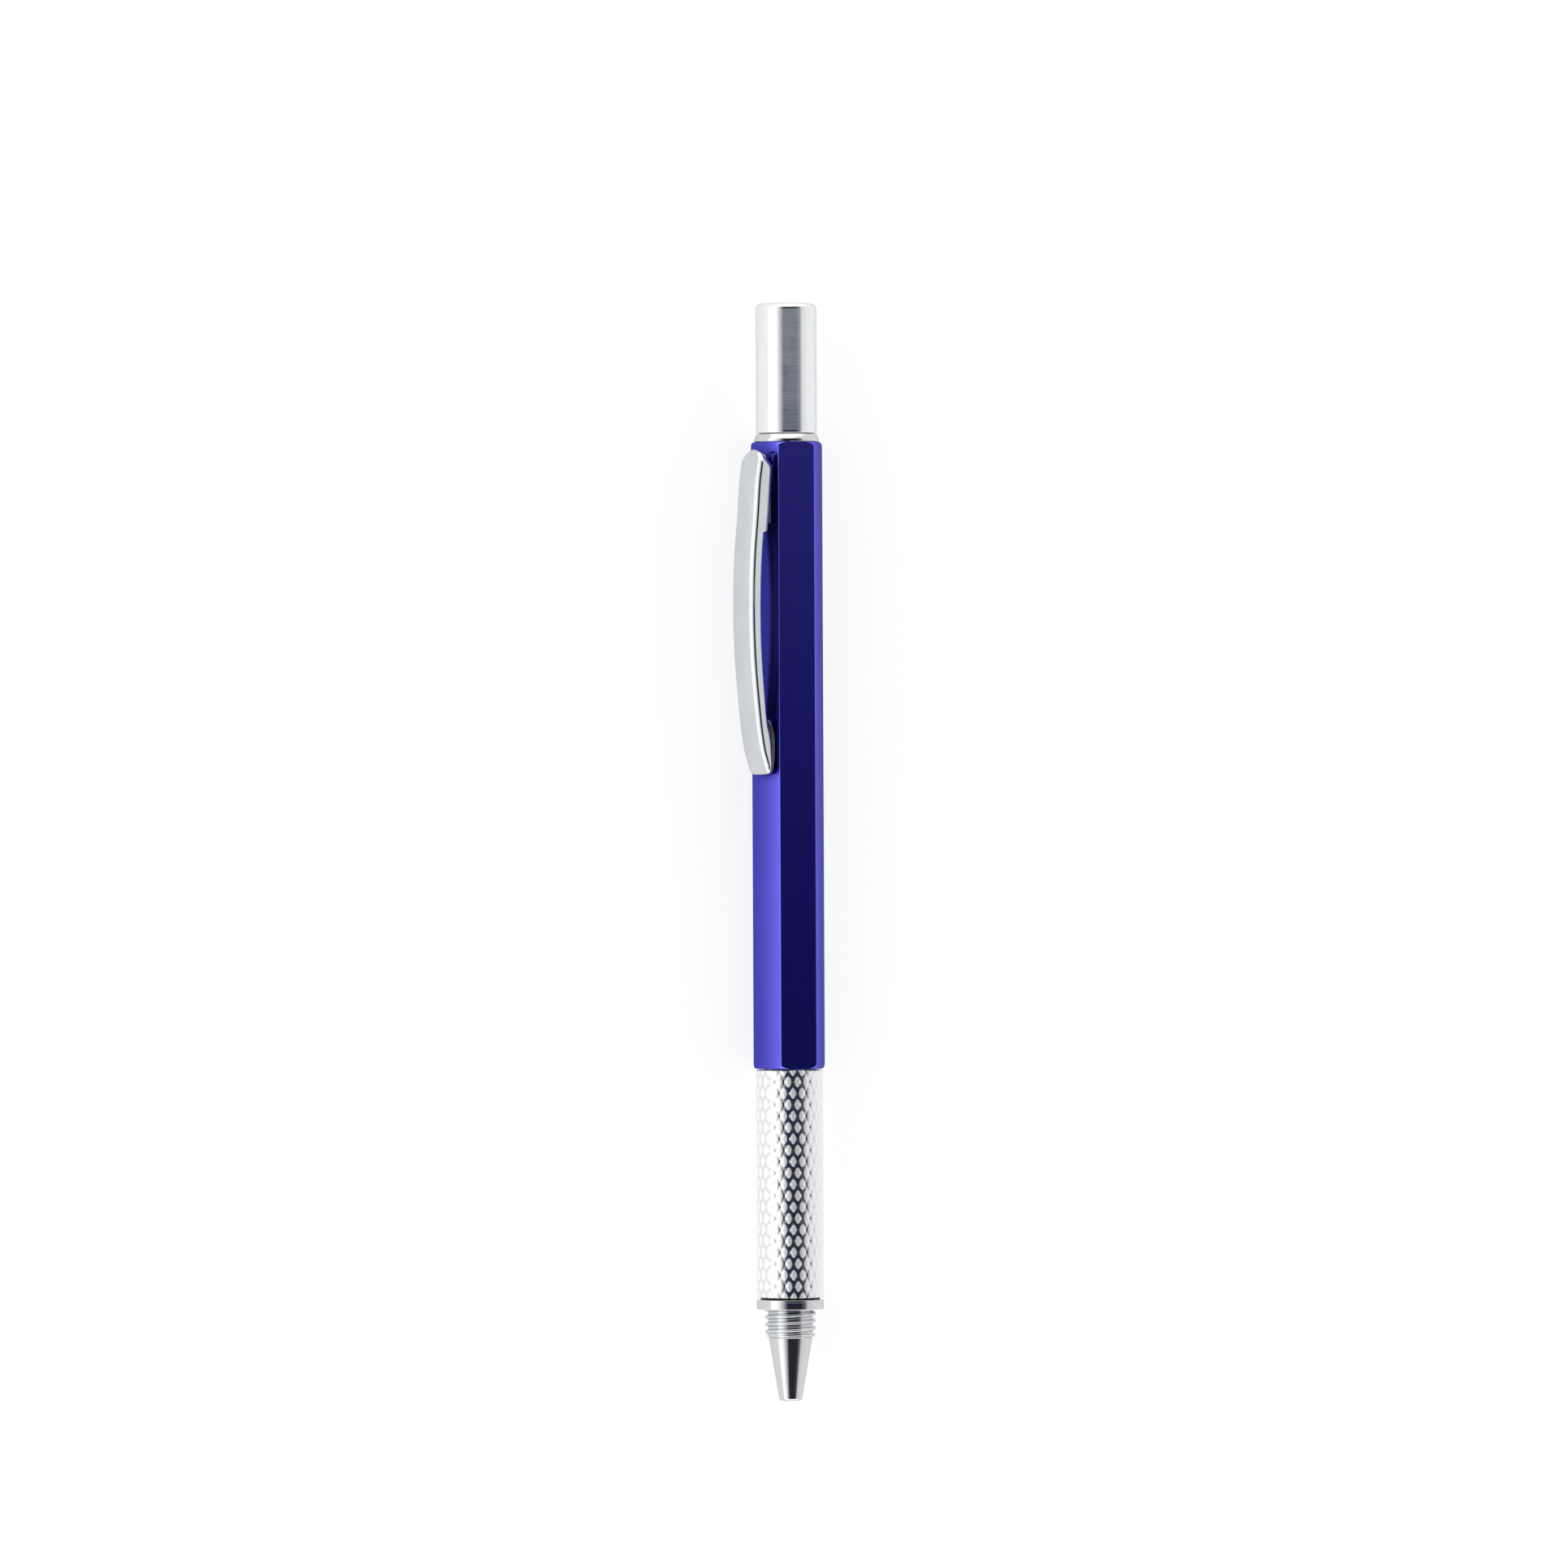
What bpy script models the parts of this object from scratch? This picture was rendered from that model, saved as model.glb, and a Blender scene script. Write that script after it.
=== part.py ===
"""Hexagonal twist-action tool pen with a screwdriver bit under its cap, lying on one flat.

The pen's tip points toward -Y and its cap toward +Y. The origin is the middle of the flat that
the barrel lies on. Every piece is modelled in millimetres in the pen's own space, where Z is the
station: the distance along the axis from the tip of the nose cone.
"""

import math

import bmesh
import bpy
from mathutils import Matrix, Vector

MM = 0.001
FINE = 48  # sides of the round pieces that show
PLAIN = 24  # sides of the round pieces inside

# Driving dimensions
LENGTH = 150.0
ACROSS_FLATS = 8.9
CLEARANCE = 0.05  # round pieces that turn, slide or sit in one another
SEAT = 0.03  # faces that rest on one another

# Stations of the outer pieces, from the tip up
NECK_START = 8.9
RING_START, RING_END = 12.55, 14.05
GRIP_START, GRIP_END = 14.15, 45.25
BARREL_START, BARREL_END = 45.4, 131.0
COLLAR_END = 132.1
CAP_START = 132.2

# Radii of the outer pieces
BARREL_BORE = 3.85
GRIP_RADIUS = 4.6
GRIP_BORE = 4.1
CAP_RADIUS, CAP_BORE = 4.18, 3.83
CAP_EDGE = 0.9
COLLAR_RADIUS, COLLAR_TOP_RADIUS = 4.5, 4.2
NECK_RADIUS = 3.2
HOLDER_RADIUS = 2.65

# Nose thread, M7 x 1
PITCH = 1.0
ROWS_PER_PITCH = 4
THREAD_MEAN, THREAD_HEIGHT = 3.28, 0.22
THREAD_GAP = 0.12
THREAD_END = 16.5

# Twist mechanism
FEED = 4.0  # how far the refill travels
PIN_STATION, PIN_RADIUS = 66.0, 0.6
SLOT_WIDTH = 2 * (PIN_RADIUS + 0.1)
CAM_BORE, CAM_SPIGOT = 2.55, 3.2
DRIVE_RADIUS, DRIVE_BORE = 2.5, 1.97
REFILL_RADIUS, REFILL_BORE = 1.5, 1.15
BALL_RADIUS, BALL_STATION = 0.5, 1.6
SPRING_START, SPRING_END = 6.45, 15.5
SPRING_RADIUS, WIRE_RADIUS, SPRING_TURNS = 1.8, 0.2, 7
NOSE_HOLE, NOSE_BORE = 1.2, 2.1

# Screwdriver bit and its holder
BIT_ACROSS = 4.0
BIT_START, BIT_END = 121.35, 146.6

# Clip, on the barrel face that looks up and toward -X
CLIP_TURN = math.radians(120)  # from the flat that looks down to the flat with the clip
CLIP_HALF_WIDTH = 2.0
CLIP_THICKNESS = 0.45
CLIP_SPLIT = 118.5  # where the arm starts to flex
CLIP_SPLIT_HEIGHT = 3.82
RIVET_STATIONS = {"clip_rivet_front": 121.2, "clip_rivet_rear": 124.4}


def clear_scene():
    for obj in list(bpy.data.objects):
        bpy.data.objects.remove(obj, do_unlink=True)


def material(name, color, roughness, metallic):
    made = bpy.data.materials.new(name)
    made.use_nodes = True
    shader = made.node_tree.nodes["Principled BSDF"]
    shader.inputs["Base Color"].default_value = (*color, 1.0)
    shader.inputs["Roughness"].default_value = roughness
    shader.inputs["Metallic"].default_value = metallic
    return made


def empty(name, parent=None, station=0.0, turn=0.0):
    made = bpy.data.objects.new(name, None)
    made.empty_display_size = 5 * MM
    made.location = (0, 0, station * MM)
    made.rotation_euler = (0, 0, turn)
    made.parent = parent
    bpy.context.collection.objects.link(made)
    return made


def add_piece(name, bm, look, parent, origin=(0, 0, 0)):
    """An object from a bmesh in millimetres, with its origin where its parent empty is."""
    bmesh.ops.translate(bm, vec=-Vector(origin), verts=bm.verts)
    bmesh.ops.scale(bm, vec=(MM, MM, MM), verts=bm.verts)
    bmesh.ops.recalc_face_normals(bm, faces=bm.faces)
    mesh = bpy.data.meshes.new(name)
    bm.to_mesh(mesh)
    bm.free()
    mesh.materials.append(look)
    mesh.shade_smooth()
    mesh.set_sharp_from_angle(angle=math.radians(35))
    obj = bpy.data.objects.new(name, mesh)
    obj.parent = parent
    bpy.context.collection.objects.link(obj)
    return obj


def helper(obj):
    """Marks a cutter, or a shape that is joined into another object."""
    obj.hide_render = True
    obj.display_type = "WIRE"
    return obj


def boolean(target, operation, *others):
    for other in others:
        modifier = target.modifiers.new(other.name, "BOOLEAN")
        modifier.operation = operation
        modifier.object = helper(other)
    return target


def arc(center_radius, center_station, size, start, end, steps=4):
    """Points (radius, station) on an arc; 0 degrees points out and 90 toward the cap."""
    angles = [math.radians(start + (end - start) * i / steps) for i in range(steps + 1)]
    return [
        (center_radius + size * math.cos(a), center_station + size * math.sin(a))
        for a in angles
    ]


def spun(outline, sides):
    """A closed outline of (radius, station) points, spun once round the axis."""
    bm = bmesh.new()
    points = [bm.verts.new((radius, 0, station)) for radius, station in outline]
    pairs = zip(points, points[1:] + points[:1])
    edges = [bm.edges.new(pair) for pair in pairs if pair[0].co.x > 0 or pair[1].co.x > 0]
    bmesh.ops.spin(
        bm, geom=points + edges, cent=(0, 0, 0), axis=(0, 0, 1), dvec=(0, 0, 0),
        angle=math.tau, steps=sides, use_merge=True,
    )
    bmesh.ops.remove_doubles(bm, verts=bm.verts, dist=1e-4)
    return bm


def turned(name, outline, look, parent, sides=PLAIN):
    return add_piece(name, spun(outline, sides), look, parent)


def tube(name, inner, outer, start, end, look, parent, sides=PLAIN):
    outline = [(inner, start), (outer, start), (outer, end), (inner, end)]
    return turned(name, outline, look, parent, sides)


def o_ring(name, middle, station, section, look, parent):
    outline = arc(middle, station, section, 0, 300, steps=5)
    return turned(name, outline, look, parent)


def groove(radius, depth_radius, start, end):
    """Outline points of a square groove round a bar."""
    return [(radius, start), (depth_radius, start), (depth_radius, end), (radius, end)]


def thread_rows(radius, start, end):
    """Outline points close enough together for cut_thread to shape."""
    count = round((end - start) / PITCH * ROWS_PER_PITCH)
    return [(radius, start + (end - start) * i / count) for i in range(count + 1)]


def cut_thread(bm, radius, start, end):
    """Moves the spun surface at this radius into a right-hand thread that runs out at its ends."""
    for vert in bm.verts:
        station = vert.co.z
        distance = vert.co.xy.length
        if abs(distance - radius) > 1e-4 or not start <= station <= end:
            continue
        angle = math.atan2(vert.co.y, vert.co.x)
        run_out = min(1.0, (station - start) / PITCH * 2, (end - station) / PITCH * 2)
        wave = math.cos(math.tau * station / PITCH - angle)
        vert.co.xy *= (distance + run_out * THREAD_HEIGHT * wave) / distance


def extruded(name, outline, low, high, look, parent, origin=(0, 0, 0)):
    """An outline of (station, height above the axis), extruded across the clip's face."""
    bm = bmesh.new()
    face = bm.faces.new([bm.verts.new((low, height, station)) for station, height in outline])
    grown = bmesh.ops.extrude_face_region(bm, geom=[face])["geom"]
    moved = [item for item in grown if isinstance(item, bmesh.types.BMVert)]
    bmesh.ops.translate(bm, vec=(high - low, 0, 0), verts=moved)
    return add_piece(name, bm, look, parent, origin)


def prism(name, across, start, end, look, parent, rounding=0.0):
    """A hexagonal bar with two flats across Y, and its long edges rounded."""
    bm = bmesh.new()
    corner = across / 2 / math.cos(math.pi / 6)
    angles = [math.tau * k / 6 for k in range(6)]
    ring = [bm.verts.new((corner * math.cos(a), corner * math.sin(a), start)) for a in angles]
    grown = bmesh.ops.extrude_face_region(bm, geom=[bm.faces.new(ring)])["geom"]
    moved = [item for item in grown if isinstance(item, bmesh.types.BMVert)]
    bmesh.ops.translate(bm, vec=(0, 0, end - start), verts=moved)
    if rounding:
        long_edges = [e for e in bm.edges if abs(e.verts[0].co.z - e.verts[1].co.z) > 1]
        bmesh.ops.bevel(bm, geom=long_edges, offset=rounding, segments=3, profile=0.5,
                        affect="EDGES")
    return add_piece(name, bm, look, parent)


def peg(name, radius, low, high, station, look, parent, sides=16):
    """A round bar square to the axis, from one height above the axis to another."""
    bm = bmesh.new()
    bmesh.ops.create_cone(bm, cap_ends=True, segments=sides, radius1=radius, radius2=radius,
                          depth=high - low)
    stand = Matrix.Rotation(-math.pi / 2, 4, "X")
    place = Matrix.Translation((0, (low + high) / 2, station))
    bmesh.ops.transform(bm, matrix=place @ stand, verts=bm.verts)
    return add_piece(name, bm, look, parent)


def smooth_curve(points, steps=4):
    """A curve through the points, as a finer list of points."""
    padded = [2 * points[0] - points[1], *points, 2 * points[-1] - points[-2]]
    curve = []
    for a, b, c, d in zip(padded, padded[1:], padded[2:], padded[3:]):
        for i in range(steps):
            t = i / steps
            curve.append(0.5 * (2 * b + (c - a) * t + (2 * a - 5 * b + 4 * c - d) * t**2
                                + (3 * b - a - 3 * c + d) * t**3))
    return curve + [points[-1]]


def ribbon(points, thickness):
    """The closed outline of a strip whose outer side follows the points."""
    inner = []
    for i, point in enumerate(points):
        along = points[min(i + 1, len(points) - 1)] - points[max(i - 1, 0)]
        inner.append(point + thickness * Vector((-along.y, along.x)).normalized())
    return points + inner[::-1]


def make_barrel(root, looks):
    """The hexagonal tube, its ends turned round, and the collar that closes its top."""
    end_radius, corner_radius, turned_length = 4.7, 5.3, 1.0
    barrel = prism("hex_barrel", ACROSS_FLATS, BARREL_START - 1, BARREL_END + 1,
                   looks["blue"], root, rounding=0.25)
    outline = [
        (BARREL_BORE, BARREL_START),
        (end_radius, BARREL_START),
        (end_radius + 0.3, BARREL_START + 0.25),
        (corner_radius, BARREL_START + turned_length),
        (corner_radius, BARREL_END - turned_length),
        (end_radius + 0.3, BARREL_END - 0.25),
        (end_radius, BARREL_END),
        (BARREL_BORE, BARREL_END),
    ]
    blank = turned("barrel_blank", outline, looks["blue"], root, FINE)
    boolean(barrel, "INTERSECT", blank)

    groove_start, groove_end, groove_radius = 133.85, 134.35, 2.95
    outline = [
        (HOLDER_RADIUS + CLEARANCE, 126.0),
        (BARREL_BORE - CLEARANCE, 126.0),
        (BARREL_BORE - CLEARANCE, BARREL_END + SEAT),
        (COLLAR_RADIUS, BARREL_END + SEAT),
        (COLLAR_RADIUS - 0.03, BARREL_END + 0.35),
        (COLLAR_TOP_RADIUS, COLLAR_END),
        (NECK_RADIUS, COLLAR_END),
        *groove(NECK_RADIUS, groove_radius, groove_start, groove_end),
        (NECK_RADIUS, 136.8),
        (NECK_RADIUS - 0.2, 137.0),
        (HOLDER_RADIUS + CLEARANCE, 137.0),
    ]
    turned("top_collar", outline, looks["chrome"], root, FINE)
    o_ring("neck_ring", groove_radius + 0.195, (groove_start + groove_end) / 2, 0.19,
           looks["rubber"], root)
    return barrel


def make_bit_holder(root, bit, looks):
    """The bit, the socket that it stands in and the magnet that holds it down."""
    socket_across = BIT_ACROSS + 0.06
    magnet_radius, magnet_start = 1.9, 119.2
    outline = [(0, 118.0), (HOLDER_RADIUS, 118.0), (HOLDER_RADIUS, 136.8), (0, 136.8)]
    holder = turned("bit_holder", outline, looks["steel"], root)
    socket = prism("bit_socket", socket_across, BIT_START - 0.1, 138.0, looks["steel"], root)
    pocket = tube("magnet_pocket", 0, magnet_radius + CLEARANCE, magnet_start, BIT_START,
                  looks["steel"], root, 24)
    boolean(holder, "DIFFERENCE", socket, pocket)
    tube("bit_magnet", 0, magnet_radius, magnet_start + CLEARANCE, BIT_START - 0.25,
         looks["steel"], root, 24)

    body = prism("screwdriver_bit", BIT_ACROSS, BIT_START - 1, BIT_END + 1, looks["steel"], bit)
    end_radius, shank_radius, taper, waist = 0.75, 1.5, 2.6, 6.5
    corner = 2.4
    half = [
        (end_radius, 0),
        (shank_radius, taper),
        (shank_radius, waist),
        (corner, waist + 1.2),
    ]
    low = [(radius, BIT_START + rise) for radius, rise in half]
    high = [(radius, BIT_END - rise) for radius, rise in reversed(half)]
    blank = turned("bit_blank", [(0, BIT_START), *low, *high, (0, BIT_END)], looks["steel"], bit)
    boolean(body, "INTERSECT", blank)


def make_cam(root, looks):
    """The fixed sleeve whose helical slot turns the grip's twist into the refill's feed."""
    shoulder, end = BARREL_START + 0.2, 80.0
    clip_groove, ring_groove, depth = (36.8, 37.3), (41.0, 41.4), 2.9
    outline = [
        (CAM_BORE, 36.0),
        (CAM_SPIGOT, 36.0),
        *groove(CAM_SPIGOT, depth, *clip_groove),
        *groove(CAM_SPIGOT, depth, *ring_groove),
        (CAM_SPIGOT, shoulder),
        (BARREL_BORE - CLEARANCE, shoulder),
        (BARREL_BORE - CLEARANCE, end),
        (CAM_BORE, end),
    ]
    cam = turned("cam_sleeve", outline, looks["plastic"], root)

    bm = bmesh.new()
    spare = math.radians(15)
    steps = 20
    half = SLOT_WIDTH / 2 + 0.05
    rings = []
    for i in range(steps + 1):
        angle = spare - (math.pi + 2 * spare) * i / steps
        station = PIN_STATION + FEED * angle / math.pi
        corners = [(2.3, -half), (4.1, -half), (4.1, half), (2.3, half)]
        rings.append([
            bm.verts.new((r * math.cos(angle), r * math.sin(angle), station + rise))
            for r, rise in corners
        ])
    for first, second in zip(rings, rings[1:]):
        for k in range(4):
            bm.faces.new((first[k], first[k - 1], second[k - 1], second[k]))
    bm.faces.new(rings[0])
    bm.faces.new(rings[-1][::-1])
    boolean(cam, "DIFFERENCE", add_piece("cam_slot", bm, looks["plastic"], root))

    clip_ring = tube("retaining_ring", depth + CLEARANCE, 3.6, clip_groove[0] + CLEARANCE,
                     clip_groove[1] - CLEARANCE, looks["steel"], root)
    gap = peg("retaining_ring_gap", 0.8, 2.0, 4.5, sum(clip_groove) / 2, looks["steel"], root)
    boolean(clip_ring, "DIFFERENCE", gap)
    o_ring("twist_ring", depth + 0.16, sum(ring_groove) / 2, 0.155, looks["rubber"], root)


def make_grip(grip, looks):
    """Everything that turns with the knurled sleeve."""
    chamfer = 0.15
    outline = [
        (GRIP_BORE, GRIP_START),
        (GRIP_RADIUS - chamfer, GRIP_START),
        (GRIP_RADIUS, GRIP_START + chamfer),
        (GRIP_RADIUS, GRIP_END - chamfer),
        (GRIP_RADIUS - chamfer, GRIP_END),
        (GRIP_BORE, GRIP_END),
    ]
    turned("grip_sleeve", outline, looks["chrome"], grip, FINE)

    inside = GRIP_BORE - CLEARANCE
    flange_bore = 3.7
    outline = [
        (flange_bore, 21.0),
        (inside, 21.0),
        (inside, 44.9),
        (CAM_SPIGOT + CLEARANCE, 44.9),
        (CAM_SPIGOT + CLEARANCE, 37.4),
        (flange_bore, 37.4),
    ]
    turned("grip_core", outline, looks["brass"], grip)

    female = THREAD_MEAN + THREAD_GAP
    thread_end = 17.55
    outline = [
        *thread_rows(female, RING_START, thread_end)[::-1],
        (GRIP_RADIUS - 0.1, RING_START),
        (GRIP_RADIUS, RING_START + 0.1),
        (GRIP_RADIUS, RING_END - 0.1),
        (GRIP_RADIUS - 0.1, RING_END),
        (inside, RING_END),
        (inside, 20.6),
        (female, 20.6),
    ]
    bm = spun(outline, 24)
    cut_thread(bm, female, RING_START - 1, thread_end)
    add_piece("front_ring", bm, looks["chrome"], grip)

    outline = [
        (DRIVE_BORE, 21.4),
        (flange_bore - CLEARANCE, 21.4),
        (flange_bore - CLEARANCE, 23.0),
        (DRIVE_RADIUS, 23.0),
        (DRIVE_RADIUS, 79.0),
        (DRIVE_BORE, 79.0),
    ]
    drive = turned("drive_tube", outline, looks["brass"], grip)
    bm = bmesh.new()
    bmesh.ops.create_cube(bm, size=1.0)
    length = FEED + SLOT_WIDTH + 0.2
    bmesh.ops.scale(bm, vec=(2.0, SLOT_WIDTH, length), verts=bm.verts)
    bmesh.ops.translate(bm, vec=(2.3, 0, PIN_STATION - FEED / 2), verts=bm.verts)
    boolean(drive, "DIFFERENCE", add_piece("drive_slot", bm, looks["brass"], grip))


def make_refill(refill, ball, looks):
    """The refill, the carrier that pushes it and the ball that writes."""
    tube("refill_tube", REFILL_BORE, REFILL_RADIUS, 11.05, 70.0, looks["clear"], refill)
    outline = [
        (0.3, 2.5),
        (BALL_RADIUS + 0.04, 2.25),
        (BALL_RADIUS + 0.04, 1.4),
        (0.66, 1.4),
        (1.1, 4.4),
        (1.1, 9.2),
        (1.45, 9.5),
        (1.45, 11.0),
        (REFILL_BORE - 0.03, 11.0),
        (REFILL_BORE - 0.03, 14.0),
        (0.3, 14.0),
    ]
    turned("refill_tip", outline, looks["brass"], refill, 24)
    tube("spring_seat", REFILL_RADIUS + SEAT, 1.95, 15.7, 16.6, looks["brass"], refill)

    inside, outside = REFILL_RADIUS + SEAT, DRIVE_BORE - CLEARANCE
    outline = [
        (inside, 60.0),
        (outside, 60.0),
        (outside, 71.5),
        (0.4, 71.5),
        (0.4, 70.1),
        (inside, 70.1),
    ]
    carrier = turned("refill_carrier", outline, looks["plastic"], refill)
    side = empty("pin_side", refill, turn=-math.pi / 2)
    hole = peg("pin_hole", PIN_RADIUS + 0.02, 1.0, 3.0, PIN_STATION, looks["plastic"], side)
    boolean(carrier, "DIFFERENCE", hole)
    peg("cam_pin", PIN_RADIUS, REFILL_RADIUS + 0.08, BARREL_BORE - 0.25, PIN_STATION,
        looks["steel"], side)

    bm = bmesh.new()
    bmesh.ops.create_icosphere(bm, subdivisions=2, radius=BALL_RADIUS)
    add_piece("tip_ball", bm, looks["steel"], ball)


def make_nose(nose, spring, looks):
    """The nose cone, screwed into the front ring, and the spring that it holds."""
    edge = 0.45
    tip_radius = 1.62
    outline = [
        (NOSE_HOLE, 0.15),
        (NOSE_HOLE + 0.1, 0.0),
        *arc(tip_radius - edge, edge, edge, -80, -10),
        (2.97, 8.5),
        (THREAD_MEAN - THREAD_HEIGHT, NECK_START - 0.2),
        *thread_rows(THREAD_MEAN, NECK_START, THREAD_END),
        (NOSE_BORE, THREAD_END),
        (NOSE_BORE, 6.2),
        (NOSE_HOLE, 5.2),
    ]
    bm = spun(outline, 24)
    cut_thread(bm, THREAD_MEAN, NECK_START, THREAD_END + 1)
    add_piece("nose_cone", bm, looks["chrome"], nose)

    wire = bpy.data.curves.new("nose_spring", "CURVE")
    wire.dimensions = "3D"
    wire.bevel_depth = WIRE_RADIUS * MM
    wire.bevel_resolution = 1
    wire.use_fill_caps = True
    steps = SPRING_TURNS * 12
    line = wire.splines.new("POLY")
    line.points.add(steps)
    rise = SPRING_END - SPRING_START - 2 * WIRE_RADIUS
    for i, point in enumerate(line.points):
        angle = math.tau * SPRING_TURNS * i / steps
        station = SPRING_START + WIRE_RADIUS + rise * i / steps
        place = (SPRING_RADIUS * math.cos(angle), SPRING_RADIUS * math.sin(angle), station)
        point.co = (*(MM * value for value in place), 1.0)
    wire.materials.append(looks["steel"])
    coil = bpy.data.objects.new("nose_spring", wire)
    coil.parent = spring
    bpy.context.collection.objects.link(coil)


def make_cap(cap, looks):
    """The cap and the plastic liner that grips the collar's neck."""
    ceiling = LENGTH - 0.5
    outline = [
        (CAP_BORE, CAP_START),
        (CAP_RADIUS - 0.05, CAP_START),
        (CAP_RADIUS, CAP_START + 0.1),
        *arc(CAP_RADIUS - CAP_EDGE, LENGTH - CAP_EDGE, CAP_EDGE, 0, 90),
        (0, LENGTH),
        (0, ceiling),
        (CAP_BORE - 0.4, ceiling),
        (CAP_BORE, ceiling - 0.4),
    ]
    turned("cap_shell", outline, looks["chrome"], cap, FINE)
    tube("cap_liner", NECK_RADIUS + 0.16, CAP_BORE - SEAT, CAP_START + 0.25, 138.5,
         looks["plastic"], cap)


def clip_point(station, height):
    """A point of the clip's side view; its height is above the barrel's face."""
    return Vector((station, ACROSS_FLATS / 2 + height))


def make_clip(side, flex, barrel, looks):
    """The clip's riveted head, its springing arm and the rivets."""
    hinge = (0, ACROSS_FLATS / 2 + CLIP_SPLIT_HEIGHT, CLIP_SPLIT)
    half, skirt = CLIP_HALF_WIDTH, CLIP_THICKNESS
    edges = ((-half, skirt - half), (half - skirt, half))

    head_skin = smooth_curve([clip_point(*p) for p in (
        (118.6, 3.80), (121.5, 3.50), (125.3, 3.14), (127.8, 2.66), (129.4, 1.90), (129.9, 0.95),
        (129.4, 0.15), (127.8, 0.04), (124.5, 0.04), (119.8, 0.04),
    )])
    head = extruded("clip_head", ribbon(head_skin, -0.45), -half + 0.05, half - 0.05,
                    looks["chrome"], side)
    cheek = [clip_point(*p) for p in (
        (118.6, 1.65), (118.6, 3.55), (121.5, 3.25), (125.3, 2.90), (127.8, 2.40), (129.0, 1.70),
        (129.2, 0.90), (128.7, 0.55), (125.0, 0.80), (121.0, 1.30),
    )]
    for k, (low, high) in enumerate(edges):
        side_plate = extruded(f"head_cheek_{k}", cheek, low, high, looks["chrome"], side)
        boolean(head, "UNION", side_plate)

    arm_skin = smooth_curve([clip_point(*p) for p in (
        (118.5, 3.82), (116.0, 4.12), (112.0, 4.37), (107.0, 4.43), (102.0, 4.22),
        (97.0, 3.71), (92.0, 3.00), (89.0, 2.35), (87.0, 1.60), (85.9, 1.05), (85.5, 0.65),
        (85.9, 0.35), (87.0, 0.20), (89.0, 0.08), (91.0, 0.06), (92.3, 0.45), (93.0, 0.95),
    )])
    arm = extruded("clip_arm", ribbon(arm_skin, 0.3), -half + 0.05, half - 0.05,
                   looks["chrome"], flex, hinge)
    flange = [clip_point(*p) for p in (
        (118.5, 2.35), (118.5, 3.65), (116.0, 3.95), (112.0, 4.20), (107.0, 4.26),
        (102.0, 4.05), (97.0, 3.54), (92.0, 2.83), (89.0, 2.18), (87.0, 1.45), (86.2, 1.05),
        (86.5, 0.60), (88.0, 0.85), (92.0, 1.75), (97.0, 2.40), (102.0, 2.85), (107.0, 3.02),
        (112.0, 2.95),
    )]
    for k, (low, high) in enumerate(edges):
        side_plate = extruded(f"arm_flange_{k}", flange, low, high, looks["chrome"], flex, hinge)
        boolean(arm, "UNION", side_plate)

    face = ACROSS_FLATS / 2
    foot_top = face + 0.04 + 0.45
    for name, station in RIVET_STATIONS.items():
        shank = peg(name, 0.55, 3.5, foot_top + 0.2, station, looks["steel"], side)
        outer = peg(f"{name}_head", 1.0, foot_top + SEAT, foot_top + 0.4, station,
                    looks["steel"], side)
        inner = peg(f"{name}_tail", 0.85, 3.25, 3.7, station, looks["steel"], side)
        boolean(shank, "UNION", outer, inner)
        hole = peg(f"{name}_hole", 0.6, 3.0, foot_top + 0.2, station, looks["steel"], side)
        boolean(head, "DIFFERENCE", hole)
        boolean(barrel, "DIFFERENCE", hole)


def main():
    clear_scene()
    looks = {
        "blue": material("anodised_blue", (0.02, 0.012, 0.30), 0.32, 0.9),
        "chrome": material("chrome", (0.82, 0.84, 0.85), 0.12, 1.0),
        "steel": material("steel", (0.55, 0.56, 0.58), 0.3, 1.0),
        "brass": material("brass", (0.75, 0.56, 0.25), 0.3, 1.0),
        "plastic": material("white_plastic", (0.80, 0.80, 0.78), 0.45, 0.0),
        "rubber": material("black_rubber", (0.03, 0.03, 0.03), 0.6, 0.0),
        "clear": material("refill_plastic", (0.10, 0.12, 0.35), 0.3, 0.0),
    }
    pen = empty("pen")
    pen.location = (0, -LENGTH / 2 * MM, ACROSS_FLATS / 2 * MM)
    pen.rotation_euler = (-math.pi / 2, 0, 0)

    grip = empty("grip_twist", pen)
    refill = empty("refill_feed", grip)
    ball = empty("ball_roll", refill, station=BALL_STATION)
    spring = empty("nose_feed", grip)
    nose = empty("nose_unscrew", spring)
    cap = empty("cap_pull", pen)
    bit = empty("bit_pull", pen)
    clip_side = empty("clip_side", pen, turn=CLIP_TURN)
    flex = empty("clip_flex", clip_side, station=CLIP_SPLIT)
    flex.location.y = (ACROSS_FLATS / 2 + CLIP_SPLIT_HEIGHT) * MM

    barrel = make_barrel(pen, looks)
    make_bit_holder(pen, bit, looks)
    make_cam(pen, looks)
    make_grip(grip, looks)
    make_refill(refill, ball, looks)
    make_nose(nose, spring, looks)
    make_cap(cap, looks)
    make_clip(clip_side, flex, barrel, looks)


main()
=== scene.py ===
"""The twist-action tool pen as it looks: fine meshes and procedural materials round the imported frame.

Lengths are millimetres. A station is the distance along the pen from the tip of its nose, a radius is
measured from its axis, and a height is measured from the barrel face that carries the clip.
"""

import math

import bmesh
import bpy
from mathutils import Matrix, Vector


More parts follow.
